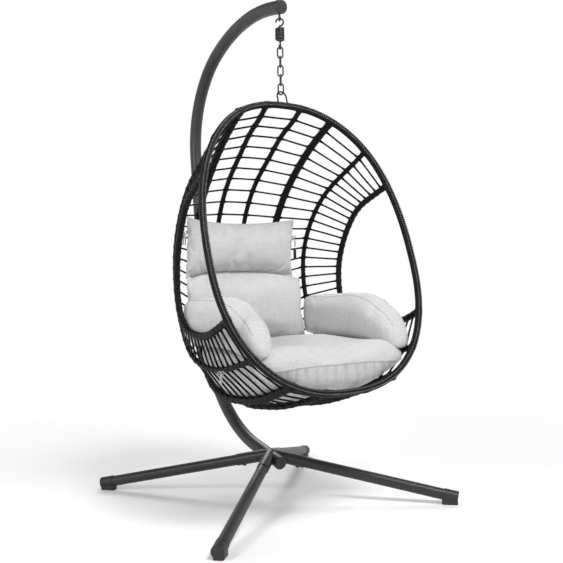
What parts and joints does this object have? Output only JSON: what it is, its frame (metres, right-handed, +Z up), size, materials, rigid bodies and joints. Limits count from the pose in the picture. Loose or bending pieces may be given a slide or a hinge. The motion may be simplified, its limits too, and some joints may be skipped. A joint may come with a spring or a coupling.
{
  "type": "hanging egg chair",
  "caption": "Hanging egg chair: a woven rattan basket with cushions on a spring and chain, below a bent tubular stand with splayed legs.",
  "frame": {"origin": "on the floor, under the middle of the chair's bounding box", "axes": "+Z up, the sitter faces -Y, +X is the sitter's left"},
  "size_m": [1.0574, 1.1682, 1.9503],
  "materials": {
    "coated_steel": "satin powder coat",
    "frame_steel": "satin",
    "dark_steel": "satin",
    "black_plastic": "matte",
    "rattan": "satin",
    "linen": "woven",
    "tag_cloth": "woven"
  },
  "bodies": {
    "stand": {"post_lower": "coated_steel", "post_middle": "coated_steel", "post_upper": "coated_steel", "lower_spigot": "coated_steel", "upper_spigot": "coated_steel", "leg_back_left": "coated_steel", "leg_back_right": "coated_steel", "leg_front_left": "coated_steel", "leg_front_right": "coated_steel", "foot_back_left": "black_plastic", "foot_back_right": "black_plastic", "foot_front_left": "black_plastic", "foot_front_right": "black_plastic", "arm_plug": "black_plastic", "stub_plug": "black_plastic", "joint_bolts": "dark_steel", "leg_bolts": "dark_steel", "eye_bolt": "dark_steel", "saddle_washer": "dark_steel", "eye_nut": "dark_steel"},
    "spring": {"extension_spring": "dark_steel"},
    "link_1": {"chain_link_1": "dark_steel"},
    "link_2": {"chain_link_2": "dark_steel"},
    "link_3": {"chain_link_3": "dark_steel"},
    "link_4": {"chain_link_4": "dark_steel"},
    "link_5": {"chain_link_5": "dark_steel"},
    "basket": {"hanging_ring": "frame_steel", "frame_left": "frame_steel", "frame_right": "frame_steel", "rim_wrap_left": "rattan", "rim_wrap_right": "rattan", "rib_edge_left": "rattan", "rib_outer_left": "rattan", "rib_thick_left": "rattan", "rib_inner_left": "rattan", "rib_edge_right": "rattan", "rib_outer_right": "rattan", "rib_thick_right": "rattan", "rib_inner_right": "rattan", "strands_edge_left": "rattan", "strands_outer_left": "rattan", "strands_thick_left": "rattan", "strands_edge_right": "rattan", "strands_outer_right": "rattan", "strands_thick_right": "rattan", "strands_middle": "rattan", "seat_cushion": "linen", "back_cushion": "linen", "arm_cushion_left": "linen", "arm_cushion_right": "linen", "head_pillow": "linen", "cushion_ties": "linen", "care_tag": "tag_cloth"}
  },
  "joints": [
    {"name": "swing_fore_aft", "type": "hinge", "parent": "stand", "child": "spring", "pos_m": [0, -0.1794, 1.8554], "axis": [1, 0, 0], "range_deg": [-15, 8]},
    {"name": "spring_stretch", "type": "slide", "parent": "spring", "child": "link_1", "axis": [0, 0, -1], "range_m": [0, 0.03], "stiffness_N_per_m": 25000, "springref_m": -0.021, "deforming": ["extension_spring"]},
    {"name": "swing_sideways", "type": "hinge", "parent": "link_1", "child": "link_2", "pos_m": [0, -0.1794, 1.7109], "axis": [0, 1, 0], "range_deg": [-8, 8]},
    {"name": "twist_upper", "type": "hinge", "parent": "link_2", "child": "link_3", "pos_m": [0, -0.1794, 1.6759], "axis": [0, 0, 1], "range_deg": [-12, 12]},
    {"name": "twist_middle", "type": "hinge", "parent": "link_3", "child": "link_4", "pos_m": [0, -0.1794, 1.6409], "axis": [0, 0, 1], "range_deg": [-12, 12]},
    {"name": "twist_lower", "type": "hinge", "parent": "link_4", "child": "link_5", "pos_m": [0, -0.1794, 1.6059], "axis": [0, 0, 1], "range_deg": [-12, 12]},
    {"name": "basket_rock", "type": "hinge", "parent": "link_5", "child": "basket", "pos_m": [0, -0.1794, 1.578], "axis": [1, 0, 0], "range_deg": [-5, 6]}
  ]
}
